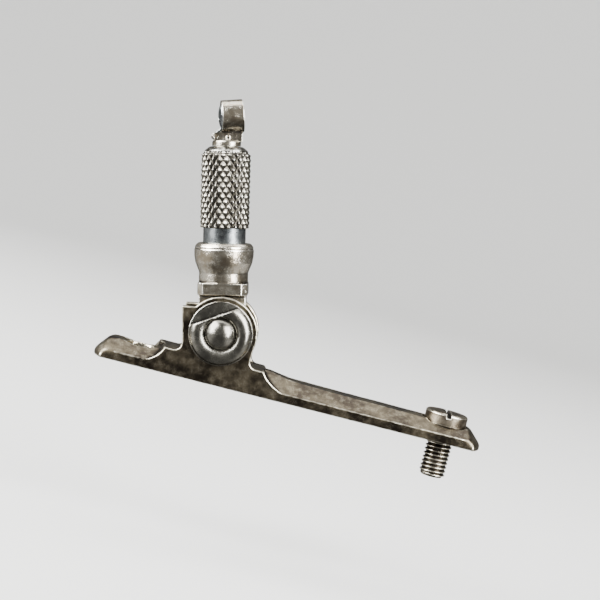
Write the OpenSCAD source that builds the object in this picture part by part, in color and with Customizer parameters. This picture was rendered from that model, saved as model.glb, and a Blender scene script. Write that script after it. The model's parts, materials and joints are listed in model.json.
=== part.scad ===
// Folding tang peep sight: a base for two screws, a pivoting stem, a knurled sleeve that raises
// the peep, and a ring with a turn-down peep disc.
// Frame: the origin is on the flat underside, straight below the pivot. +X runs back along the
// base to the rear screw, +Z points away from the underside, and -Y is the side of the lock disc.

/* [Base] */
// Width of the base, which is also the width across the two ears
base_w = 10.6; // [10.4:0.1:11.2]
// Reach of the base in front of the pivot
front_reach = 21.6; // [20.6:0.1:23]
// Reach of the base behind the pivot
rear_reach = 50.5; // [49.5:0.5:58]
// Radius of the rounded front and rear ends, seen from above
end_r = 9.5; // [9:0.1:12]
// Height of the upright side wall along the two arms
side_h = 1.6; // [1.4:0.1:1.9]
// Height of the deck that carries the ears
deck_h = 4.6; // [4.5:0.05:4.7]
// Distance between the axes of the front and rear screws
screw_spacing = 57.15; // [55.5:0.05:58]
// Position of the rear screw behind the pivot
rear_screw_x = 43.4; // [42.5:0.1:44]

/* [Pivot] */
// Height of the pivot above the underside
pivot_h = 9.4; // [9.3:0.05:9.6]
// Radius of the rounded ears about the pivot
ear_r = 6.5; // [6.3:0.1:6.7]
// Gap between the two ears
slot_w = 6.1; // [5.9:0.1:6.5]
// Radius of the pivot screw's shank
pivot_r = 1.6; // [1.4:0.05:1.8]
// Forward lean of the raised stem from the base's normal, in degrees
stem_lean = 12.8; // [8:0.2:14]
// Radius of the lock disc
lock_r = 5.75; // [5.6:0.05:5.9]
// Distance from the pivot to the flat cut across the lock disc
lock_flat = 3.2; // [3:0.05:3.5]

/* [Stem] */
// Half width of the tongue between the ears
tongue_half = 4.2; // [4:0.05:4.3]
// Half width of the square band above the ears
band_half = 4.5; // [4.4:0.05:4.6]
// Largest radius of the barrel
barrel_r = 5.4; // [5.3:0.05:5.5]
// Top of the barrel, measured along the stem from the pivot
barrel_top = 15.95; // [15.7:0.05:16]
// Outer radius of the plain neck tube
neck_r = 3.85; // [3.8:0.01:3.9]
// Radius of the sliding rod in the neck tube
rod_r = 2.33; // [2.3:0.01:2.35]

/* [Sleeve] */
// Radius of the knurled sleeve
sleeve_r = 4.5; // [4.45:0.01:4.6]
// Lower end of the sleeve, measured along the stem from the pivot
sleeve_low = 18.65; // [18.6:0.05:18.8]
// Upper end of the sleeve's knurled length
knurl_top = 31.6; // [31.3:0.1:31.8]
// Top of the sleeve
sleeve_top = 33.2; // [33:0.05:33.2]

/* [Head] */
// Outer radius of the ring that carries the peep
ring_r = 3.05; // [3:0.01:3.1]
// Inner radius of the ring
ring_bore_r = 2.5; // [2.45:0.01:2.55]
// Height of the ring's axis along the stem from the pivot
ring_z = 38.5; // [38.4:0.05:38.6]
// Length of the ring along the line of sight
ring_len = 3.82; // [3.6:0.02:4]
// Turn of the head about the stem, in degrees
head_yaw = 8; // [0:1:14]
// Forward tilt of the ring on its stalk, in degrees
ring_tilt = 5; // [0:1:6]
// Radius of the hole in the peep disc
peep_hole_r = 0.5; // [0.4:0.05:0.8]

/* [Rear screw] */
// Radius of the rear screw's thread
screw_r = 2.4; // [2.3:0.05:2.45]
// Length of thread below the underside
screw_reach = 6.9; // [6:0.1:9]
// Radius of the rear screw's head
screw_head_r = 3.9; // [3.8:0.05:4]

/* [Hidden] */
$fn = 96;

half_w = base_w / 2;
slot_half = slot_w / 2;
front_screw_x = rear_screw_x - screw_spacing;

// Bevels, deck and run-out arcs of the base
bevel_slope = 0.69;        // rise of the side bevel for each millimetre of width
bevel_top = 5.2;           // height at which the bevel's outline is closed
front_edge = -9;           // front end of the full-width deck
rear_edge = 9.2;           // rear end of the full-width deck
front_cut_r = 4.5;         // radius of the cutter that ends the front bevel
front_cut_turn = 9.6;      // turn of that cutter, in degrees
rear_cut_r = 7.2;          // radius of the cutter that ends the rear bevel
flank_half = 6.3;          // half length of the ears below the pivot
flank_fillet = 1.2;        // hollow corner between the ears and the deck
seat_floor = 2.9;          // floor of the rear screw's counterbore
seat_r = 4.35;             // radius of that counterbore
dish_low = 3.3;            // height at which the front dish meets its hole
dish_high = 3.9;           // height of the front dish's rim
dish_r = 4.2;              // radius of the front dish's rim
screw_hole_r = 2.6;        // radius of the hole for either screw

// Fits
bore_r = pivot_r + 0.06;   // running bore on the pivot screw
seat_gap = 0.02;           // clearance of a fixed round part in its own bore
shank_r = screw_r - 0.2;   // relieved neck of the rear screw, inside the base

// Detent below the tongue, in line with the raised stem's dimple
detent_x = tongue_half * sin(stem_lean);
plug_top = 1.1;            // top of the plug that closes the detent's bore
plunger_low = 2.4;         // lower end of the plunger
plunger_step = 3.25;       // shoulder of the plunger
plunger_top = pivot_h - tongue_half - 0.1;
detent_r = 1.45;           // radius of the plunger and the plug
tip_r = 0.93;              // radius of the plunger's tip
spring_r = 1.05;           // mean radius of the detent spring
wire_r = 0.14;             // radius of its wire
spring_turns = 3;          // turns of the detent spring

// Lock disc, measured outward from the middle of the joint
washer_t = 0.25;           // thickness of the washer between the ear and the lock disc
disc_low = half_w + washer_t + 0.05;
disc_edge = disc_low + 0.5;
dome_tube = 1.6;           // section radius of the disc's round rib
head_seat = disc_edge + 0.35;
boss_r = 2.75;             // radius of the pivot screw's domed head
boss_rise = 1.6;           // height of its dome
lock_flat_turn = 33;       // slope of the flat across the lock disc, in degrees

// Stem, measured along its axis from the pivot
band_low = 6.7;
band_high = 8.8;
band_chamfer = 1.05;
tongue_t = slot_w - 0.2;
waist_r = 4.45;
tube_low = 9.5;
tube_high = 28.2;
tube_bore_r = rod_r + 0.06;
rod_low = 7.6;
rod_shoulder = 26.2;
rod_neck_r = 1.5;
rod_tip_low = 33.3;
rod_tip_high = 35.3;
rod_tip_r = 0.95;
rod_well = 4.5;            // floor of the bore below the rod
key_z = 14.3;
key_r = 0.5;
keyway_half = 0.57;
keyway_floor = 1.6;
sleeve_bore_r = neck_r + 0.08;
cap_low = 31.45;
cap_bore_r = rod_neck_r + 0.08;
collar_low = 29.75;
collar_high = 31.15;
collar_r = 2.25;
collar_pin_r = 0.35;

// Head, in the frame of the stem
boss_low = rod_tip_low;
boss_high = 34.3;
head_boss_r = 2.6;
stalk_front = -1.1;
stalk_rear = 2.68;
stalk_half = 1.6;
ring_front = -0.99;
head_pin_x = 0.13;
head_pin_z = 34.75;
head_pin_r = 0.4;
hinge_x = -2.05;
hinge_z = 35.05;
lug_r = 0.65;
lug_gap_half = 0.62;
peep_r = 2.3;
peep_front = -1.1;
peep_rear = -0.6;
peep_dome = 0.5;           // height of the disc's domed front
hinge_pin_r = 0.35;

// Places children in the frame of the raised stem: origin at the pivot, +Z up the stem.
module on_stem() {
    translate([0, 0, pivot_h]) rotate([0, -stem_lean, 0]) children();
}

// Places children in the frame of the head, which is turned a little on the stem.
module on_head() {
    on_stem() rotate([0, 0, head_yaw]) children();
}

// Places children about the middle of the ring, which tilts forward on its stalk.
module on_ring() {
    translate([0, 0, ring_z]) rotate([0, -ring_tilt, 0]) children();
}

// Places children in the frame of the pivot's near end: local +Z points out toward -Y.
module on_pivot() {
    translate([0, 0, pivot_h]) rotate([90, 0, 0]) children();
}

// Round bar along Y between two depths.
module bar_y(x, z, r, from, to) {
    translate([x, to, z]) rotate([90, 0, 0]) cylinder(r = r, h = to - from);
}

// Round bar along X between two depths.
module bar_x(z, r, from, to) {
    translate([from, 0, z]) rotate([0, 90, 0]) cylinder(r = r, h = to - from);
}

// Extrudes an outline drawn in X and Z across the width from one depth to another.
module across(from, to) {
    translate([0, to, 0]) rotate([90, 0, 0]) linear_extrude(to - from) children();
}

// Upright slab of the given outline in X and Z, and its mirror image on the other side.
module both_sides(from, to) {
    across(from, to) children();
    across(-to, -from) children();
}

// One rounded end of the base, with its bevel, as a body of revolution.
module end_round(x, edge, lean) {
    rise = bevel_top - edge;
    translate([x, 0, 0]) {
        cylinder(r = end_r, h = edge);
        translate([0, 0, edge]) cylinder(r1 = end_r, r2 = end_r - lean * rise, h = rise);
    }
}

// The two arms: a bevelled bar, lower behind and in front of the deck, with rounded ends.
module arms() {
    bevel_half = half_w - (bevel_top - side_h) / bevel_slope;
    front_x = -front_reach + end_r;
    rear_x = rear_reach - end_r;
    intersection() {
        rotate([90, 0, 90]) translate([0, 0, -front_reach - 1])
            linear_extrude(front_reach + rear_reach + 2)
            polygon([
                [-half_w, 0], [half_w, 0], [half_w, side_h], [bevel_half, bevel_top],
                [-bevel_half, bevel_top], [-half_w, side_h],
            ]);
        across(-half_w - 1, half_w + 1)
            polygon([
                [-front_reach - 1, 0], [-front_reach - 1, 3.75], [front_edge - 1, 3.75],
                [front_edge, deck_h], [rear_edge + 1, deck_h], [14, 3.9], [20, 3.75],
                [rear_reach + 1, 3.3], [rear_reach + 1, 0],
            ]);
        union() {
            end_round(front_x, 1.0, 0.8);
            translate([front_x, -half_w - 1, 0])
                cube([rear_x - front_x, base_w + 2, bevel_top]);
            end_round(rear_x, 0.9, 1.0);
        }
    }
}

// Full-width deck under the ears, hollowed at both ends by round cutters.
module deck() {
    difference() {
        across(-half_w, half_w)
            translate([front_edge - 4, 0]) square([rear_edge - front_edge + 9, deck_h]);
        translate([front_edge - 5.3, 0, 0]) rotate([0, 0, front_cut_turn])
            bar_y(0, side_h - 0.15 + front_cut_r, front_cut_r, -base_w, base_w);
        bar_y(rear_edge + 5.8, side_h - 0.15 + rear_cut_r, rear_cut_r, -base_w, base_w);
    }
}

// Side view of one ear: round top, square front stop, and hollow corners on the deck.
module ear_outline() {
    translate([0, pivot_h]) circle(r = ear_r);
    translate([-flank_half, side_h]) square([2 * flank_half, pivot_h - side_h]);
    translate([0, pivot_h]) polygon([[-7.88, 3.05], [-5.2, 3.6], [-3, 0], [-6.25, -3.3]]);
    for (side = [-1, 1]) difference() {
        translate([side * (flank_half + flank_fillet / 2 - 0.05), deck_h + flank_fillet / 2 - 0.05])
            square(flank_fillet + 0.1, center = true);
        translate([side * (flank_half + flank_fillet), deck_h + flank_fillet])
            circle(r = flank_fillet);
    }
}

module base() {
    color("#4a4540") difference() {
        union() {
            arms();
            deck();
            both_sides(slot_half, half_w) ear_outline();
        }
        bar_y(0, pivot_h, pivot_r + seat_gap, -half_w - 1, half_w + 1);
        translate([rear_screw_x, 0, -1]) cylinder(r = screw_hole_r, h = deck_h + 2);
        translate([rear_screw_x, 0, seat_floor]) cylinder(r = seat_r, h = deck_h);
        translate([front_screw_x, 0, -1]) cylinder(r = screw_hole_r, h = deck_h + 2);
        translate([front_screw_x, 0, dish_low])
            cylinder(r1 = screw_hole_r, r2 = dish_r, h = dish_high - dish_low);
        translate([front_screw_x, 0, dish_high]) cylinder(r = dish_r, h = deck_h);
        translate([detent_x, 0, -1]) cylinder(r = detent_r + 0.06, h = plunger_step + 1.1);
        translate([detent_x, 0, 1]) cylinder(r = tip_r + 0.06, h = deck_h);
    }
}

module rear_tang_screw() {
    color("#6b6257") difference() {
        translate([rear_screw_x, 0, 0]) rotate_extrude() polygon([
            [0, -screw_reach], [screw_r - 0.5, -screw_reach], [screw_r, -screw_reach + 0.5],
            [screw_r, 0], [shank_r, 0], [shank_r, seat_floor],
            [screw_head_r, seat_floor], [screw_head_r, 4.85], [screw_head_r - 0.25, 5.1],
            [0, 5.5],
        ]);
        translate([rear_screw_x - 0.4, -screw_head_r - 1, 4.4])
            cube([0.8, 2 * screw_head_r + 2, 2]);
    }
}

module pivot_screw() {
    dome_r = (boss_r * boss_r + boss_rise * boss_rise) / (2 * boss_rise);
    boss_edge = head_seat + 0.35;
    color("#55524e") on_pivot() difference() {
        union() {
            translate([0, 0, -half_w - 0.3]) cylinder(r = pivot_r, h = half_w + 0.3 + head_seat);
            translate([0, 0, head_seat]) cylinder(r = boss_r, h = boss_edge - head_seat);
            intersection() {
                translate([0, 0, boss_edge + boss_rise - dome_r]) sphere(r = dome_r);
                translate([0, 0, boss_edge - 0.1]) cylinder(r = boss_r, h = boss_rise + 1);
            }
        }
        translate([-pivot_r - 1, -0.3, -half_w - 1]) cube([2 * pivot_r + 2, 0.6, 1.3]);
    }
}

module lock_disc() {
    color("#45433f") on_pivot() difference() {
        union() {
            translate([0, 0, disc_low]) cylinder(r = lock_r, h = disc_edge - disc_low);
            translate([0, 0, disc_low])
                cylinder(r = lock_r - dome_tube, h = head_seat - disc_low - 0.05);
            rotate_extrude() intersection() {
                translate([lock_r - dome_tube - 0.1, disc_edge - 0.4]) circle(r = dome_tube);
                translate([0, disc_low + 0.1]) square([lock_r, 3]);
            }
        }
        translate([0, 0, disc_low - 1]) cylinder(r = bore_r, h = 4);
        translate([0, 0, head_seat - 0.05]) cylinder(r = boss_r + 0.06, h = 2);
        rotate([0, 0, lock_flat_turn]) translate([-lock_r - 1, lock_flat, disc_edge])
            cube([2 * lock_r + 2, lock_r, 3]);
    }
}

module lock_washer() {
    color("#8a7748") on_pivot() difference() {
        translate([0, 0, half_w]) cylinder(r = 3.2, h = washer_t);
        translate([0, 0, half_w - 1]) cylinder(r = pivot_r + seat_gap, h = washer_t + 2);
    }
}

module detent_plunger() {
    color("#77736c") translate([detent_x, 0, 0]) rotate_extrude() polygon([
        [0, plunger_low], [detent_r, plunger_low], [detent_r, plunger_step],
        [tip_r, plunger_step], [tip_r, plunger_top - 0.3], [tip_r - 0.4, plunger_top],
        [0, plunger_top],
    ]);
}

// Centre of the detent spring's wire at one step of the coil.
function coil_point(turn) = [
    spring_r * cos(360 * turn), spring_r * sin(360 * turn),
    plug_top + wire_r + 0.02 + turn * (plunger_low - plug_top - 2 * wire_r - 0.04) / spring_turns,
];

// Ring of points round the wire at one step of the coil.
function coil_ring(turn) = [
    for (side = [0:7])
        coil_point(turn) + wire_r * [
            cos(45 * side) * cos(360 * turn), cos(45 * side) * sin(360 * turn), sin(45 * side),
        ]
];

module detent_spring() {
    steps = 20 * spring_turns;
    points = [for (step = [0:steps]) each coil_ring(step / 20)];
    sides = [
        for (step = [0:steps - 1], side = [0:7])
            let (next = (side + 1) % 8, low = 8 * step, high = 8 * step + 8)
            [low + side, high + side, high + next, low + next]
    ];
    ends = [[for (side = [0:7]) side], [for (side = [7:-1:0]) 8 * steps + side]];
    color("#9a958a") translate([detent_x, 0, 0])
        polyhedron(points, concat(sides, ends));
}

module detent_plug() {
    color("#5c574f") difference() {
        translate([detent_x, 0, 0.1]) cylinder(r = detent_r + 0.04, h = plug_top - 0.1);
        translate([detent_x - 2, -0.25, -0.5]) cube([4, 0.5, 1]);
    }
}

// Turned outline of the waist and the barrel.
module barrel_outline() {
    polygon([
        [0, band_high - 0.5], [waist_r, band_high - 0.5], [waist_r, 10.6], [4.75, 11.4],
        [5.15, 12.4], [barrel_r - 0.05, 13.6], [barrel_r, barrel_top - 1.1],
        [barrel_r - 0.15, barrel_top - 0.6], [barrel_r - 0.5, barrel_top - 0.15],
        [barrel_r - 0.8, barrel_top], [0, barrel_top],
    ]);
}

module joint_block() {
    band_flat = band_half - band_chamfer;
    color("#6f675a") on_stem() difference() {
        union() {
            bar_y(0, 0, tongue_half, -tongue_t / 2, tongue_t / 2);
            translate([-tongue_half, -tongue_t / 2, 0])
                cube([2 * tongue_half, tongue_t, band_low + 0.2]);
            translate([0, 0, band_low]) linear_extrude(band_high - band_low) polygon([
                [-band_half, -band_flat], [-band_flat, -band_half],
                [band_flat, -band_half], [band_half, -band_flat],
                [band_half, band_flat], [band_flat, band_half],
                [-band_flat, band_half], [-band_half, band_flat],
            ]);
            rotate_extrude() barrel_outline();
        }
        bar_y(0, 0, bore_r, -tongue_t, tongue_t);
        translate([0, 0, -tongue_half - 0.5]) cylinder(r1 = 1.3, r2 = 0.4, h = 1);
        translate([0, 0, tube_low]) cylinder(r = neck_r + seat_gap, h = barrel_top);
        translate([0, 0, rod_well]) cylinder(r = rod_r + 0.12, h = barrel_top);
        translate([0, 0, barrel_top - 0.35])
            cylinder(r1 = neck_r + seat_gap, r2 = neck_r + 0.6, h = 0.6);
        bar_y(0, key_z, key_r + seat_gap, 0, barrel_r + 1);
    }
}

module neck_tube() {
    color("#4d5256") on_stem() difference() {
        translate([0, 0, tube_low]) cylinder(r = neck_r, h = tube_high - tube_low);
        translate([0, 0, tube_low - 1]) cylinder(r = tube_bore_r, h = tube_high);
        bar_y(0, key_z, key_r + seat_gap, 0, barrel_r);
    }
}

module key_pin() {
    color("#5c574f") on_stem() bar_y(0, key_z, key_r, keyway_floor + 0.15, barrel_r - 0.4);
}

module slide_rod() {
    color("#7a7772") on_stem() difference() {
        union() {
            translate([0, 0, rod_low]) cylinder(r = rod_r, h = rod_shoulder - rod_low);
            translate([0, 0, rod_shoulder - 0.5])
                cylinder(r = rod_neck_r, h = rod_tip_low - rod_shoulder + 0.5);
            translate([0, 0, rod_tip_low - 0.5])
                cylinder(r = rod_tip_r, h = rod_tip_high - rod_tip_low + 0.5);
        }
        translate([-keyway_half, keyway_floor, rod_low + 0.6]) cube([2 * keyway_half, 2, 10.1]);
        bar_x((collar_low + collar_high) / 2, collar_pin_r + seat_gap, -3, 3);
        rotate([0, 0, head_yaw]) bar_y(head_pin_x, head_pin_z, head_pin_r + seat_gap, -3, 3);
    }
}

module knurled_sleeve() {
    color("#8b8b88") on_stem() rotate_extrude() polygon([
        [sleeve_bore_r, sleeve_low], [sleeve_r - 0.2, sleeve_low], [sleeve_r, sleeve_low + 0.2],
        [sleeve_r, knurl_top - 0.15], [sleeve_r - 0.25, knurl_top + 0.1],
        [sleeve_r - 0.6, sleeve_top - 0.15], [sleeve_r - 0.8, sleeve_top],
        [cap_bore_r, sleeve_top], [cap_bore_r, cap_low], [sleeve_bore_r, cap_low],
    ]);
}

module retaining_collar() {
    color("#77736c") on_stem() difference() {
        translate([0, 0, collar_low]) cylinder(r = collar_r, h = collar_high - collar_low);
        translate([0, 0, collar_low - 1]) cylinder(r = rod_neck_r + seat_gap, h = 4);
        bar_x((collar_low + collar_high) / 2, collar_pin_r + seat_gap, -3, 3);
    }
}

module collar_pin() {
    color("#5c574f") on_stem()
        bar_x((collar_low + collar_high) / 2, collar_pin_r, -collar_r + 0.1, collar_r - 0.1);
}

module aperture_head() {
    color("#8c8474") on_head() difference() {
        union() {
            translate([0, 0, boss_low]) cylinder(r = head_boss_r, h = 0.7);
            translate([0, 0, boss_low + 0.7])
                cylinder(r1 = head_boss_r, r2 = head_boss_r - 0.2, h = boss_high - boss_low - 0.7);
            translate([stalk_front, -stalk_half, boss_high - 0.2])
                cube([stalk_rear - stalk_front, 2 * stalk_half, 2]);
            on_ring() bar_x(0, ring_r, ring_front, ring_front + ring_len);
            bar_y(hinge_x, hinge_z, lug_r, -stalk_half, stalk_half);
            translate([hinge_x, -stalk_half, boss_high - 0.1])
                cube([stalk_front - hinge_x + 0.3, 2 * stalk_half, hinge_z + lug_r - boss_high + 0.1]);
        }
        on_ring() bar_x(0, ring_bore_r, ring_front - 1, ring_front + ring_len + 1);
        across(-4, 4) polygon([
            [stalk_rear, ring_z - 3.6], [stalk_rear, ring_z - 3], [stalk_rear + 0.7, ring_z - 2],
            [5, ring_z - 2], [5, ring_z - 3.6],
        ]);
        translate([0, 0, boss_low - 1])
            cylinder(r = rod_tip_r + seat_gap, h = rod_tip_high - boss_low + 1.05);
        bar_y(head_pin_x, head_pin_z, head_pin_r + seat_gap, -3, 3);
        bar_y(hinge_x, hinge_z, hinge_pin_r + seat_gap, -3, 3);
        translate([hinge_x - lug_r - 1, -lug_gap_half, hinge_z - lug_r - 0.1])
            cube([stalk_front - hinge_x + lug_r + 1, 2 * lug_gap_half, 2.1]);
        translate([stalk_front - 0.1, -lug_gap_half, rod_tip_high + 0.05])
            cube([1.2, 2 * lug_gap_half, 1.1]);
    }
}

module head_pin() {
    color("#5c574f") on_head() bar_y(head_pin_x, head_pin_z, head_pin_r, -1.28, 1.28);
}

module peep_disc() {
    dome_r = (peep_r * peep_r + peep_dome * peep_dome) / (2 * peep_dome);
    color("#4a4540") on_head() difference() {
        union() {
            on_ring() bar_x(0, peep_r, peep_front, peep_rear);
            on_ring() intersection() {
                translate([peep_front - peep_dome + dome_r, 0, 0]) sphere(r = dome_r);
                bar_x(0, peep_r, peep_front - 1, peep_front + 0.1);
            }
            across(-0.5, 0.5) polygon([
                [peep_rear + 0.15, ring_z - 1.9], [peep_front + 0.15, ring_z - 1.9],
                [hinge_x - 0.4, hinge_z + 0.4], [hinge_x + 0.45, hinge_z - 0.35],
                [stalk_front - 0.15, rod_tip_high + 0.3],
            ]);
            bar_y(hinge_x, hinge_z, lug_r - 0.03, -0.55, 0.55);
        }
        on_ring() bar_x(0, peep_hole_r, peep_front - 1, peep_rear + 1);
        bar_y(hinge_x, hinge_z, hinge_pin_r + 0.05, -3, 3);
    }
}

module peep_hinge_pin() {
    color("#5c574f") on_head() bar_y(hinge_x, hinge_z, hinge_pin_r, -stalk_half, stalk_half);
}

base();
rear_tang_screw();
pivot_screw();
lock_disc();
lock_washer();
detent_plunger();
detent_spring();
detent_plug();
joint_block();
neck_tube();
key_pin();
slide_rod();
knurled_sleeve();
retaining_collar();
collar_pin();
aperture_head();
head_pin();
peep_disc();
peep_hinge_pin();
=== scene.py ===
import json
import math

import bpy
import numpy as np
from mathutils import Matrix, Vector, noise


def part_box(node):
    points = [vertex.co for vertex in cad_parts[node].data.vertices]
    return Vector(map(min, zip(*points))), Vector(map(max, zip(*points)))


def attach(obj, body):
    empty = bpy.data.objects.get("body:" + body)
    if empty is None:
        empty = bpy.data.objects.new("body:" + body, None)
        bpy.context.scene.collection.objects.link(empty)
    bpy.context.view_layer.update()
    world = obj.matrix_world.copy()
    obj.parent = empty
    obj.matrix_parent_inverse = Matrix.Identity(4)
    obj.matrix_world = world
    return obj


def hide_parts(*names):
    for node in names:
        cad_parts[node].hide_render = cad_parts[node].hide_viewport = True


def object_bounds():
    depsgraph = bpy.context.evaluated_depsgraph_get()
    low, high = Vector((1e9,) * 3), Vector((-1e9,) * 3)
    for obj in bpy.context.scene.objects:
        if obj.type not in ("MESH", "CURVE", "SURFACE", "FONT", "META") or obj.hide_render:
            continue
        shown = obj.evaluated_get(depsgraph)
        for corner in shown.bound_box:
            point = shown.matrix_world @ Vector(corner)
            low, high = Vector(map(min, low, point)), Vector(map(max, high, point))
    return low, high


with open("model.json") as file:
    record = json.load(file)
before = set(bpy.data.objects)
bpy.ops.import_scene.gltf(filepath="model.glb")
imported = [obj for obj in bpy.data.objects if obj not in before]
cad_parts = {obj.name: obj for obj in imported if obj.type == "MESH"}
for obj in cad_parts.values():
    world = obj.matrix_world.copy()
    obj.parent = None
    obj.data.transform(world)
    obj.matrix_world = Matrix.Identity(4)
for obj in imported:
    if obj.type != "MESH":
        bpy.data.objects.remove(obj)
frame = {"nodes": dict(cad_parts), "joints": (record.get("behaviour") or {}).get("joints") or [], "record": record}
cad_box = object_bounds()
nodes = frame["nodes"]
joints = {joint["name"]: joint for joint in frame["joints"]}

MM = 0.001

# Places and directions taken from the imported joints, and the side that the photograph shows
PIVOT = np.array(joints["stem_fold"]["pos_m"])
STEM_AXIS = np.array(joints["stem_raise"]["axis"])
PIN_AXIS = np.array(joints["peep_turn_down"]["axis"])
NEAR = np.array([0.0, -1.0, 0.0])

# Camera, in the row frame
CAMERA_PLACE = Vector((6.66, -270.0, 38.5)) * MM
CAMERA_TURN = 0.0208
CAMERA_TILT = 0.0747
CAMERA_ROLL = 0.2509
FOCAL_TO_WIDTH = 2.492

# Knurl of the sleeve: diamonds round it, their height along it, their depth, and mesh steps in each
KNURL_TEETH = 21
KNURL_HEIGHT = 1.87 * MM
KNURL_DEPTH = 0.4 * MM
KNURL_STEPS = 16

# Bores of the sleeve, round the neck tube and round the rod, and the thickness of its top
SLEEVE_BORE = 3.93 * MM
ROD_BORE = 1.58 * MM
SLEEVE_TOP = 1.5 * MM

# Length of the sleeve's smooth shoulder, which is given a painted highlight
SHOULDER = 1.1 * MM

# How far round each vertex its edges and corners are felt, and what share of a voxel is fully worn or dirty
WEAR_ROUNDS = 5
WEAR_BULGE = 0.28
DIRT_ROUNDS = 24
DIRT_HOLLOW = 0.6

# Smoothing passes on the rubbed ends of the base, and the share of each that is taken
ROUNDING_PASSES = 40
ROUNDING_SHARE = 0.6

# Thread of the rear screw, between its crests and from crest to root
THREAD_PITCH = 0.75 * MM
THREAD_DEPTH = 0.36 * MM


def vertices_of(mesh):
    """The mesh's vertex places as an array."""
    places = np.empty(len(mesh.vertices) * 3, np.float32)
    mesh.vertices.foreach_get("co", places)
    return places.reshape(-1, 3).astype(float)


def normals_of(mesh):
    """The mesh's vertex normals as an array."""
    normals = np.empty(len(mesh.vertices) * 3, np.float32)
    mesh.vertex_normals.foreach_get("vector", normals)
    return normals.reshape(-1, 3).astype(float)


def along_and_out(places, origin, axis):
    """How far each place is along an axis, and how far out from it."""
    along = (places - origin) @ axis
    out = np.linalg.norm(places - origin - np.outer(along, axis), axis=1)
    return along, out


def middle_of(node):
    """The middle of a CAD node's box."""
    low, high = (np.array(corner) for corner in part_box(node))
    return (low + high) / 2


def reach(node, origin, axis):
    """Lowest and highest place of a CAD node along an axis, and its largest radius about it."""
    along, out = along_and_out(vertices_of(nodes[node].data), origin, axis)
    return along.min(), along.max(), out.max()


def noise_at(places, size, octaves=3):
    """Smooth noise from about -1 to 1 at each place, with features of the given size."""
    return np.array([noise.fractal(Vector(p), 1.0, 2.0, octaves) for p in places / size])


def mesh_edges(mesh):
    """The two vertices of each edge."""
    edges = np.empty(len(mesh.edges) * 2, np.int32)
    mesh.edges.foreach_get("vertices", edges)
    return edges.reshape(-1, 2)


def neighbour_mean(values, edges, count):
    """For each vertex, the mean of its neighbours' values."""
    total = np.empty_like(values)
    for column in range(values.shape[1]):
        total[:, column] = np.bincount(edges[:, 0], values[edges[:, 1], column], count)
        total[:, column] += np.bincount(edges[:, 1], values[edges[:, 0], column], count)
    links = np.bincount(edges.ravel(), minlength=count)
    return total / np.maximum(links, 1)[:, None]


def store(mesh, name, values):
    """Keeps a value from 0 to 1 at each vertex, for the materials to read."""
    attribute = mesh.attributes.new(name, "FLOAT", "POINT")
    attribute.data.foreach_set("value", np.clip(values, 0, 1).astype(np.float32))


def bulge(mesh, rounds):
    """How far each vertex stands out from its smoothed surroundings, and below 0 in corners."""
    edges = mesh_edges(mesh)
    places = vertices_of(mesh)
    smooth = places
    for _ in range(rounds):
        smooth = neighbour_mean(smooth, edges, len(places))
    return np.einsum("ij,ij->i", places - smooth, normals_of(mesh))


def add_piece(name, mesh, body, slot, *replaced):
    """Puts a finished mesh in the scene as a piece that rides on a body."""
    mesh.polygons.foreach_set("use_smooth", np.ones(len(mesh.polygons), bool))
    mesh.name = name
    piece = bpy.data.objects.new(name, mesh)
    bpy.context.scene.collection.objects.link(piece)
    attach(piece, body)
    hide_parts(*replaced)
    return piece


def worn_copy(node, voxel, smoothing, detail, rounding=None, handling_and_light=None):
    """A dense copy of a CAD node's mesh with softened edges, fine relief, worn edges and dirty corners.
    rounding gives how far each place is rubbed down, from 0 to 1, and handling_and_light its extra wear, dirt,
    painted highlights and painted shade."""
    source = bpy.data.objects.new("source", nodes[node].data.copy())
    bpy.context.scene.collection.objects.link(source)
    remesh = source.modifiers.new("remesh", "REMESH")
    remesh.mode = "VOXEL"
    remesh.voxel_size = voxel
    soften = source.modifiers.new("soften", "SMOOTH")
    soften.iterations = smoothing
    soften.factor = 0.5
    depsgraph = bpy.context.evaluated_depsgraph_get()
    mesh = bpy.data.meshes.new_from_object(source.evaluated_get(depsgraph))
    bpy.data.objects.remove(source)
    mesh.materials.clear()
    places = vertices_of(mesh)
    if rounding:
        share = ROUNDING_SHARE * rounding(places)[:, None]
        edges = mesh_edges(mesh)
        for _ in range(ROUNDING_PASSES):
            places += share * (neighbour_mean(places, edges, len(places)) - places)
        mesh.vertices.foreach_set("co", places.astype(np.float32).ravel())
        mesh.update()
    places += normals_of(mesh) * detail(places)[:, None]
    mesh.vertices.foreach_set("co", places.astype(np.float32).ravel())
    mesh.update()
    wear_and_sheen = bulge(mesh, WEAR_ROUNDS) / (WEAR_BULGE * voxel)
    dirt_and_shade = -bulge(mesh, DIRT_ROUNDS) / (DIRT_HOLLOW * voxel)
    # The extra marks add painted highlights to the wear and painted shade to the dirt.
    if handling_and_light:
        more_wear_and_sheen, more_dirt_and_shade = handling_and_light(places)
        wear_and_sheen = np.maximum(wear_and_sheen, more_wear_and_sheen) * (1 - more_dirt_and_shade)
        dirt_and_shade = np.maximum(dirt_and_shade, more_dirt_and_shade)
    store(mesh, "wear_and_sheen", wear_and_sheen)
    store(mesh, "dirt_and_shade", dirt_and_shade)
    return mesh


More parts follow.
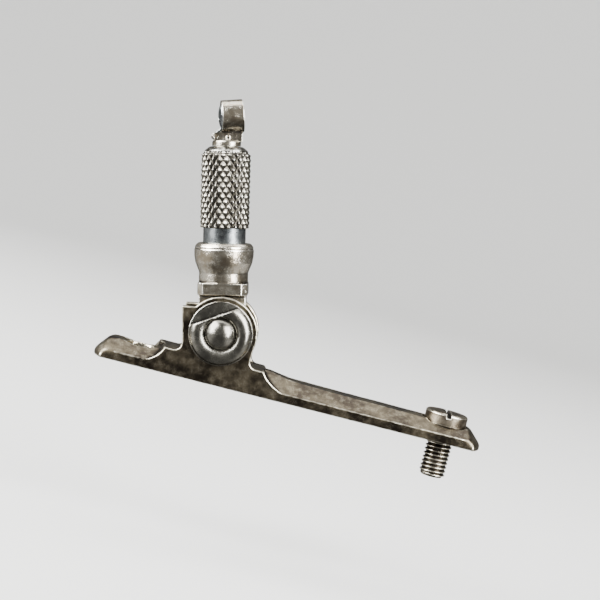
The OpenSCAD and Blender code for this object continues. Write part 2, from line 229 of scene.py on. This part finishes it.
def lathe(origin, axis, profile, segments, radius_change=None):
    """A closed ring-shaped mesh: profile is a loop of (radius, along) points turned about an axis.
    radius_change(angle, radius, along) is added to each radius."""
    axis = Vector(axis).normalized()
    side = axis.cross(Vector(NEAR)).normalized()
    if side.length < 0.5:
        side = Vector((1, 0, 0))
    other = axis.cross(side)
    angles = np.arange(segments) * 2 * math.pi / segments
    radius = np.array([p[0] for p in profile])[:, None] * np.ones(segments)
    along = np.array([p[1] for p in profile])[:, None] * np.ones(segments)
    if radius_change:
        radius = radius + radius_change(angles[None, :] * np.ones_like(radius), radius, along)
    places = (
        np.array(origin)
        + along[..., None] * np.array(axis)
        + (radius * np.cos(angles))[..., None] * np.array(side)
        + (radius * np.sin(angles))[..., None] * np.array(other)
    ).reshape(-1, 3)
    rows = len(profile)
    faces = []
    for row in range(rows):
        for step in range(segments):
            low, high = row * segments, (row + 1) % rows * segments
            after = (step + 1) % segments
            faces.append((low + step, low + after, high + after, high + step))
    mesh = bpy.data.meshes.new("lathe")
    mesh.from_pydata(places.tolist(), [], faces)
    mesh.update()
    return mesh


# Relief of each worn piece


def far_rim(places):
    """1 on the coarse far rim of the base's front dish."""
    x, y, z = (places / MM).T
    return np.clip((-10.5 - x) / 0.5, 0, 1) * np.clip((y - 1.5) / 0.3, 0, 1) * np.clip((z - 2.5) / 0.3, 0, 1)


def base_wear_and_light(places):
    """Painted highlight on the nose, a far rim bright from wear and painted highlight, and painted shade on the
    flats in front of and behind the ears.
    """
    x, y, z = (places / MM).T
    # Painted highlight on the nose.
    nose = 0.6 * np.clip((-18.5 - x) / 1.5, 0, 1) * np.clip((z - 0.6) / 0.5, 0, 1)
    # Painted shade on the flats beside the ears.
    deck_shade = 0.6 * np.clip(1 - np.abs(np.abs(x) - 9.5) / 1.5, 0, 1) * np.clip((z - 2.0) / 0.5, 0, 1)
    inside = np.abs(y) < 3.5
    return np.maximum(nose, far_rim(places)), deck_shade * inside


def head_ring_shade(places):
    """Painted shade on the underside of the sighting ring, and less of it on the stalk."""
    top = reach("aperture_head", PIVOT, STEM_AXIS)[1]
    down = (top - along_and_out(places, PIVOT, STEM_AXIS)[0]) / MM
    # Painted shade under the ring, and lighter painted shade on the stalk below it.
    ring = 0.95 * np.clip((down - 3.6) / 1.6, 0, 1) * np.clip((6.4 - down) / 0.3, 0, 1)
    stalk = 0.5 * np.clip((down - 6.0) / 0.3, 0, 1) * np.clip((8.0 - down) / 0.3, 0, 1)
    return 0.0, np.maximum(ring, stalk)


def base_relief(places):
    """Shallow waves and small pits all over, and a coarse grain on the far rim of the front dish."""
    waves = 0.02 * MM * noise_at(places, 2.5 * MM)
    pits = -0.05 * MM * np.clip(noise_at(places + 1, 0.7 * MM) - 0.55, 0, 1)
    return waves + pits + far_rim(places) * 0.12 * MM * noise_at(places, 0.5 * MM, 2)


def base_rounding(places):
    """The nose and the rear end are rubbed round by handling."""
    x, y, z = (places / MM).T
    nose = np.clip((-17.5 - x) / 1.5, 0, 1) * np.clip((z - 0.5) / 0.6, 0, 1)
    tail = np.clip((x - 46.5) / 1.5, 0, 1) * np.clip((z - 0.5) / 0.6, 0, 1)
    return np.maximum(nose, tail)


def block_relief(places):
    """Light dents, and a fine turned line below the barrel's rim."""
    along, out = along_and_out(places, PIVOT, STEM_AXIS)
    rim = reach("joint_block", PIVOT, STEM_AXIS)[1]
    line = np.exp(-(((along - rim + 1.0 * MM) / (0.13 * MM)) ** 2)) * (out > 4.8 * MM)
    return 0.02 * MM * noise_at(places, 1.6 * MM) - 0.1 * MM * line


def screw_relief(places):
    """A helical thread below the base, and light dents on the head."""
    offset = places - middle_of("rear_tang_screw") * np.array([1, 1, 0])
    angle = np.arctan2(offset[:, 1], offset[:, 0]) / (2 * math.pi)
    turn = offset[:, 2] / THREAD_PITCH - angle
    groove = np.abs(2 * (turn % 1) - 1)
    out = np.hypot(offset[:, 0], offset[:, 1])
    threaded = np.clip(-offset[:, 2] / (0.3 * MM), 0, 1) * np.clip((out / MM - 1.9) / 0.3, 0, 1)
    dents = 0.012 * MM * noise_at(places, 1.2 * MM)
    return dents - THREAD_DEPTH * threaded * np.clip(1.25 * groove - 0.1, 0, 1)


def light_relief(places):
    """Barely uneven, for the polished and small pieces."""
    return 0.006 * MM * noise_at(places, 1.5 * MM)


def knurl(angle, radius, along):
    """Depth of the two crossing families of grooves at each place on the sleeve's outside."""
    low, high, _ = reach("knurled_sleeve", PIVOT, STEM_AXIS)
    across = KNURL_TEETH * angle / (2 * math.pi)
    rise = (along - low) / KNURL_HEIGHT
    ridge = [1 - np.abs(2 * ((across + sign * rise) % 1) - 1) for sign in (-1, 1)]
    height = np.clip(np.minimum(*ridge), 0, 0.93)
    fade = np.clip((high - 0.65 * MM - along) / (0.5 * MM), 0, 1)
    outside = radius > SLEEVE_BORE + 0.07 * MM
    return -KNURL_DEPTH * (1 - height) * fade * outside


def sleeve_mesh():
    """The knurled sleeve as a turned ring with a diamond knurl."""
    low, high, radius = reach("knurled_sleeve", PIVOT, STEM_AXIS)
    step = KNURL_HEIGHT / KNURL_STEPS
    corners = [
        (radius - 0.15 * MM, low), (radius, low + 0.2 * MM), (radius, high - 1.5 * MM),
        (radius - 0.3 * MM, high - 1.2 * MM), (radius - 0.65 * MM, high - 0.7 * MM),
        (radius - 1.3 * MM, high - 0.15 * MM), (radius - 1.6 * MM, high),
    ]
    outside = []
    for (r0, t0), (r1, t1) in zip(corners, corners[1:]):
        parts = max(1, round((t1 - t0) / step))
        outside += [(r0 + (r1 - r0) * k / parts, t0 + (t1 - t0) * k / parts) for k in range(parts)]
    inside = [
        (radius - 1.6 * MM, high), (ROD_BORE, high), (ROD_BORE, high - SLEEVE_TOP),
        (SLEEVE_BORE, high - SLEEVE_TOP), (SLEEVE_BORE, low),
    ]
    mesh = lathe(PIVOT, STEM_AXIS, outside + inside, KNURL_TEETH * KNURL_STEPS, knurl)
    along, out = along_and_out(vertices_of(mesh), PIVOT, STEM_AXIS)
    height = (out - radius + KNURL_DEPTH) / KNURL_DEPTH
    # The smooth shoulder gets a painted highlight. The knurl's crests are worn bright and its valleys are dirty.
    shoulder = along > high - SHOULDER
    store(mesh, "wear_and_sheen", np.where(shoulder, 0.7, height))
    store(mesh, "dirt_and_shade", np.where(shoulder, 0, 1 - height / 0.4))
    return mesh


def screw_thread_shadow(places):
    """Painted shadow on the thread below the base."""
    # Painted shadow of the base on the thread.
    return 0.0, 0.55 * (places[:, 2] < 0)


def pin_mesh():
    """The head pin with a peened burr round a small crater at its near end."""
    centre = middle_of("head_pin")
    profile = [
        (0.3, -1.6), (0.4, -1.5), (0.4, 1.58), (0.47, 1.63), (0.45, 1.7), (0.34, 1.75), (0.24, 1.7),
        (0.17, 1.5), (0.01, 1.45), (0.01, -1.6),
    ]
    mesh = lathe(centre, PIN_AXIS, [(r * MM, t * MM) for r, t in profile], 48)
    along, out = np.array(along_and_out(vertices_of(mesh), centre, PIN_AXIS)) / MM
    # The burr is worn bright. The crater gets painted shade.
    store(mesh, "wear_and_sheen", (along > 1.6) & (out > 0.2))
    store(mesh, "dirt_and_shade", (along > 1.4) & (out < 0.2))
    return mesh


# Materials


class Graph:
    """Short calls for building one material's nodes."""

    def __init__(self, name):
        self.material = bpy.data.materials.new(name)
        self.material.use_nodes = True
        self.tree = self.material.node_tree
        self.shader = self.tree.nodes["Principled BSDF"]

    def link(self, source, target):
        self.tree.links.new(source, target)

    def node(self, kind, **settings):
        made = self.tree.nodes.new(kind)
        for key, value in settings.items():
            setattr(made, key, value)
        return made

    def put(self, target, value):
        """Links a socket, or sets a plain value."""
        if isinstance(value, bpy.types.NodeSocket):
            self.link(value, target)
        else:
            target.default_value = value

    def math(self, operation, a, b=0.0):
        made = self.node("ShaderNodeMath", operation=operation)
        self.put(made.inputs[0], a)
        self.put(made.inputs[1], b)
        return made.outputs[0]

    def ramp(self, value, low, high):
        """0 below low, 1 above high, and smooth between."""
        made = self.node("ShaderNodeMapRange", interpolation_type="SMOOTHSTEP")
        self.put(made.inputs["Value"], value)
        made.inputs["From Min"].default_value = low
        made.inputs["From Max"].default_value = high
        return made.outputs[0]

    def between(self, value, low, high):
        """A 0 to 1 value mapped onto low to high."""
        made = self.node("ShaderNodeMapRange")
        self.put(made.inputs["Value"], value)
        made.inputs["To Min"].default_value = low
        made.inputs["To Max"].default_value = high
        return made.outputs[0]

    def mix(self, share, a, b):
        made = self.node("ShaderNodeMix", data_type="RGBA")
        self.put(made.inputs[0], share)
        self.put(made.inputs[6], a)
        self.put(made.inputs[7], b)
        return made.outputs[2]

    def noise(self, place, per_mm, detail=4.0, stretch=(1, 1, 1), shift=0.0):
        """Noise with about per_mm features in a millimetre, squeezed along the axes by stretch."""
        mapping = self.node("ShaderNodeMapping")
        mapping.inputs["Scale"].default_value = [per_mm * s / MM for s in stretch]
        mapping.inputs["Location"].default_value = (shift, shift, shift)
        self.link(place, mapping.inputs["Vector"])
        made = self.node("ShaderNodeTexNoise")
        made.inputs["Scale"].default_value = 1.0
        made.inputs["Detail"].default_value = detail
        self.link(mapping.outputs[0], made.inputs["Vector"])
        return made.outputs["Fac"]


def colour(hex_code):
    """A linear colour from an sRGB hex code."""
    parts = [int(hex_code[k:k + 2], 16) / 255 for k in (0, 2, 4)]
    return [p / 12.92 if p <= 0.04045 else ((p + 0.055) / 1.055) ** 2.4 for p in parts] + [1.0]


def steel(name, dark, middle, bright, rough=(0.25, 0.45), wear_and_sheen=(0.3, 0.9), pits=0.5,
          scratches=0.5, stretch=(1, 1, 8), grain=0.5):
    """Aged steel: soft mottled patina, dark pits, fine scratches, bright worn edges and painted highlights, and
    dark dirt and painted shade.
    """
    graph = Graph(name)
    place = graph.node("ShaderNodeTexCoord").outputs["Object"]
    broad = graph.noise(place, 0.22, 3.0)
    medium = graph.noise(place, 0.9, 6.0, shift=3.0)
    fine = graph.noise(place, 5.0, 4.0, shift=7.0)
    mottled = graph.math("ADD", graph.math("MULTIPLY", broad, 0.5), graph.math("MULTIPLY", medium, 0.3))
    mottled = graph.math("ADD", mottled, graph.math("MULTIPLY", fine, 0.2))
    patina = graph.mix(graph.ramp(mottled, 0.38, 0.64), colour(dark), colour(middle))
    spots = graph.ramp(graph.noise(place, 2.4, 4.0, shift=11.0), 0.60, 0.74)
    patina = graph.mix(graph.math("MULTIPLY", spots, pits), patina, colour("14110d"))
    streaks = graph.noise(place, 2.6, 3.0, stretch=stretch, shift=5.0)
    lines = graph.ramp(graph.math("ABSOLUTE", graph.math("SUBTRACT", streaks, 0.5)), 0.02, 0.0)
    lines = graph.math("MULTIPLY", lines, graph.ramp(medium, 0.45, 0.65))
    # Dirt and painted shade darken the patina.
    dirt_and_shade = graph.node("ShaderNodeAttribute", attribute_name="dirt_and_shade").outputs["Fac"]
    patina = graph.mix(graph.math("MULTIPLY", dirt_and_shade, 0.85), patina, colour("120f0b"))
    # Worn edges and painted highlights are mixed in bright.
    worn = graph.node("ShaderNodeAttribute", attribute_name="wear_and_sheen").outputs["Fac"]
    ragged = graph.math("MULTIPLY", graph.math("SUBTRACT", graph.noise(place, 1.1, 6.0, shift=2.0), 0.5), 1.9)
    edges = graph.ramp(graph.math("ADD", worn, graph.math("MULTIPLY", ragged, worn)), *wear_and_sheen)
    shine = graph.math("MAXIMUM", edges, graph.math("MULTIPLY", lines, scratches))
    graph.link(graph.mix(shine, patina, colour(bright)), graph.shader.inputs["Base Color"])
    roughness = graph.between(graph.ramp(mottled, 0.35, 0.65), rough[0], rough[1])
    roughness = graph.math("ADD", roughness, graph.math("MULTIPLY", spots, 0.2 * pits))
    graph.link(graph.math("SUBTRACT", roughness, graph.math("MULTIPLY", edges, 0.06)),
               graph.shader.inputs["Roughness"])
    graph.shader.inputs["Metallic"].default_value = 1.0
    height = graph.math("SUBTRACT", graph.math("MULTIPLY", fine, grain), graph.math("MULTIPLY", spots, pits))
    height = graph.math("SUBTRACT", height, graph.math("MULTIPLY", lines, 0.5 * scratches))
    bump = graph.node("ShaderNodeBump")
    bump.inputs["Strength"].default_value = 0.3
    bump.inputs["Distance"].default_value = 0.03 * MM
    graph.link(height, bump.inputs["Height"])
    graph.link(bump.outputs[0], graph.shader.inputs["Normal"])
    return graph.material


browned = steel("browned_steel", "37312a", "665e4e", "d3ccb8", rough=(0.3, 0.42), wear_and_sheen=(0.45, 1.15),
                pits=0.55)
worn = steel("worn_steel", "a09480", "d6d0c0", "f4f0e4", rough=(0.2, 0.28), pits=0.25, scratches=0.8)
polished = steel("polished_steel", "76746c", "98958c", "ece8dc", rough=(0.22, 0.3), wear_and_sheen=(0.6, 1.3),
                 pits=0.12, grain=0.2)
blued = steel("blued_steel", "595d5f", "868a8b", "d5d8d6", rough=(0.24, 0.32), pits=0.1, grain=0.2,
              stretch=(1, 8, 1))
knurled = steel("knurled_steel", "57544c", "7b776d", "efece2", rough=(0.18, 0.28), wear_and_sheen=(0.55, 1.0),
                pits=0.15)
screw = steel("screw_steel", "5b5143", "8b8170", "e8e1cf", rough=(0.26, 0.38), pits=0.35)
plain = steel("bright_steel", "87847b", "b0ada3", "e4e1d7", rough=(0.25, 0.36), pits=0.2, stretch=(8, 1, 1))
brass = steel("washer_brass", "6a5227", "9a7a3c", "d8bd7c", rough=(0.28, 0.4), pits=0.3)

FINISHES = {
    "browned_steel": browned, "worn_steel": worn, "polished_steel": polished, "blued_steel": blued,
    "knurled_steel": knurled, "screw_steel": screw, "bright_steel": plain, "washer_brass": brass,
}
slot_of = {part["node"]: part["material_slot"] for part in frame["record"]["subparts"]}
body_of = {n: b for b, members in frame["record"]["behaviour"]["bodies"].items() for n in members}

for node_name, node_object in nodes.items():
    node_object.data.materials.clear()
    node_object.data.materials.append(FINISHES[slot_of[node_name]])

# node: (voxel, smoothing passes, relief, rounding, extra wear, dirt, painted highlights and painted shade)
WORN_PIECES = {
    "base": (0.15 * MM, 3, base_relief, base_rounding, base_wear_and_light),
    "joint_block": (0.11 * MM, 3, block_relief, None, None),
    "rear_tang_screw": (0.08 * MM, 2, screw_relief, None, screw_thread_shadow),
    "lock_disc": (0.07 * MM, 6, light_relief, None, None),
    "pivot_screw": (0.07 * MM, 6, light_relief, None, None),
    "aperture_head": (0.06 * MM, 3, light_relief, None, head_ring_shade),
    "peep_disc": (0.05 * MM, 2, light_relief, None, None),
}
pieces = {name: worn_copy(name, *how) for name, how in WORN_PIECES.items()}
pieces["knurled_sleeve"] = sleeve_mesh()
pieces["head_pin"] = pin_mesh()
for node_name, mesh in pieces.items():
    add_piece(node_name + "_worn", mesh, body_of[node_name], slot_of[node_name], node_name)
    mesh.materials.append(FINISHES[slot_of[node_name]])


# Stage, lights and camera

WORLD_DIM = 0.17
WORLD_BRIGHT = 0.95
FLOOR = -30 * MM
BACKDROP_SEGMENTS = 96


def backdrop_paint():
    """Matt pale grey with a little light of its own, so that floor and wall look alike."""
    graph = Graph("backdrop_paint")
    graph.shader.inputs["Base Color"].default_value = (0.45, 0.45, 0.44, 1)
    graph.shader.inputs["Roughness"].default_value = 0.95
    graph.shader.inputs["Emission Color"].default_value = (1, 1, 0.98, 1)
    graph.shader.inputs["Emission Strength"].default_value = 0.42
    return graph.material


def backdrop():
    """A round pale floor that sweeps up into a wall on every side."""
    flat, sweep, top = 0.7, 0.6, 1.6
    outline = [(0.3, FLOOR), (flat, FLOOR)]
    outline += [
        (flat + sweep * math.sin(a), FLOOR + sweep - sweep * math.cos(a))
        for a in np.linspace(0.1, math.pi / 2, 24)
    ]
    outline.append((flat + sweep, top))
    count = BACKDROP_SEGMENTS
    places = [(r * math.cos(a), r * math.sin(a), z)
              for r, z in outline for a in np.linspace(0, 2 * math.pi, count, endpoint=False)]
    faces = [(row * count + k, (row + 1) * count + k,
              (row + 1) * count + (k + 1) % count, row * count + (k + 1) % count)
             for row in range(len(outline) - 1) for k in range(count)]
    faces.append(tuple(range(count)))
    mesh = bpy.data.meshes.new("backdrop")
    mesh.from_pydata(places, [], faces)
    mesh.polygons.foreach_set("use_smooth", np.ones(len(mesh.polygons), bool))
    made = bpy.data.objects.new("backdrop", mesh)
    mesh.materials.append(backdrop_paint())
    bpy.context.scene.collection.objects.link(made)
    made.visible_glossy = False


def softbox(name, place, target, size, power):
    """A rectangular area light aimed at a point."""
    data = bpy.data.lights.new(name, "AREA")
    data.shape = "RECTANGLE"
    data.size, data.size_y = size
    data.energy = power
    light = bpy.data.objects.new(name, data)
    light.location = place
    light.rotation_mode = "QUATERNION"
    light.rotation_quaternion = (Vector(target) - Vector(place)).to_track_quat("-Z", "Y")
    light.visible_camera = False
    bpy.context.scene.collection.objects.link(light)


backdrop()
middle = (cad_box[0] + cad_box[1]) / 2
# High boxes to the sides and above, and low strips that the round barrel and neck reflect
softbox("left_box", middle + Vector((-0.475, -0.127, 0.344)), middle, (0.55, 0.45), 18)
softbox("right_box", middle + Vector((0.365, -0.329, 0.344)), middle, (0.40, 0.45), 13)
softbox("left_strip", middle + Vector((-0.54, -0.25, 0.06)), middle, (0.26, 0.26), 5)
softbox("right_strip", middle + Vector((0.45, -0.40, 0.06)), middle, (0.18, 0.26), 3.5)
softbox("top_box", middle + Vector((0.0, 0.1, 0.6)), middle, (0.7, 0.4), 4)

def studio():
    """A dim even studio, brighter low down on the left and the right."""
    made = bpy.data.worlds.new("studio")
    made.use_nodes = True
    tree = made.node_tree

    def ramp(value, low, high, bottom=0.0, top=1.0, curve="SMOOTHSTEP"):
        node = tree.nodes.new("ShaderNodeMapRange")
        node.interpolation_type = curve
        tree.links.new(value, node.inputs["Value"])
        for socket, number in zip(("From Min", "From Max", "To Min", "To Max"), (low, high, bottom, top)):
            node.inputs[socket].default_value = number
        return node.outputs[0]

    def math_of(operation, *values):
        node = tree.nodes.new("ShaderNodeMath")
        node.operation = operation
        for value, socket in zip(values, node.inputs):
            tree.links.new(value, socket)
        return node.outputs[0]

    split = tree.nodes.new("ShaderNodeSeparateXYZ")
    tree.links.new(tree.nodes.new("ShaderNodeTexCoord").outputs["Generated"], split.inputs[0])
    sideways = ramp(math_of("ABSOLUTE", split.outputs["X"]), 0.45, 0.8)
    low_down = ramp(split.outputs["Z"], -0.1, -0.35)
    strength = ramp(math_of("MULTIPLY", sideways, low_down), 0.0, 1.0, WORLD_DIM, WORLD_BRIGHT, "LINEAR")
    background = tree.nodes["Background"]
    background.inputs["Color"].default_value = (1.0, 0.99, 0.97, 1)
    tree.links.new(strength, background.inputs["Strength"])
    bpy.context.scene.world = made


studio()


def photo_camera():
    """The camera at the photograph's place, turned, tilted and rolled to its view."""
    turn, tilt, roll = CAMERA_TURN, CAMERA_TILT, CAMERA_ROLL
    ahead = Vector((math.sin(turn) * math.cos(tilt), math.cos(turn) * math.cos(tilt), -math.sin(tilt)))
    level = Vector((math.cos(turn), -math.sin(turn), 0))
    over = level.cross(ahead)
    right = level * math.cos(roll) + over * math.sin(roll)
    above = over * math.cos(roll) - level * math.sin(roll)
    data = bpy.data.cameras.new("camera")
    data.lens = data.sensor_width * FOCAL_TO_WIDTH
    data.clip_start = 0.01
    camera = bpy.data.objects.new("camera", data)
    camera.matrix_world = Matrix((right, above, -ahead)).transposed().to_4x4()
    camera.location = CAMERA_PLACE
    bpy.context.scene.collection.objects.link(camera)
    bpy.context.scene.camera = camera


photo_camera()

bpy.context.view_layer.update()
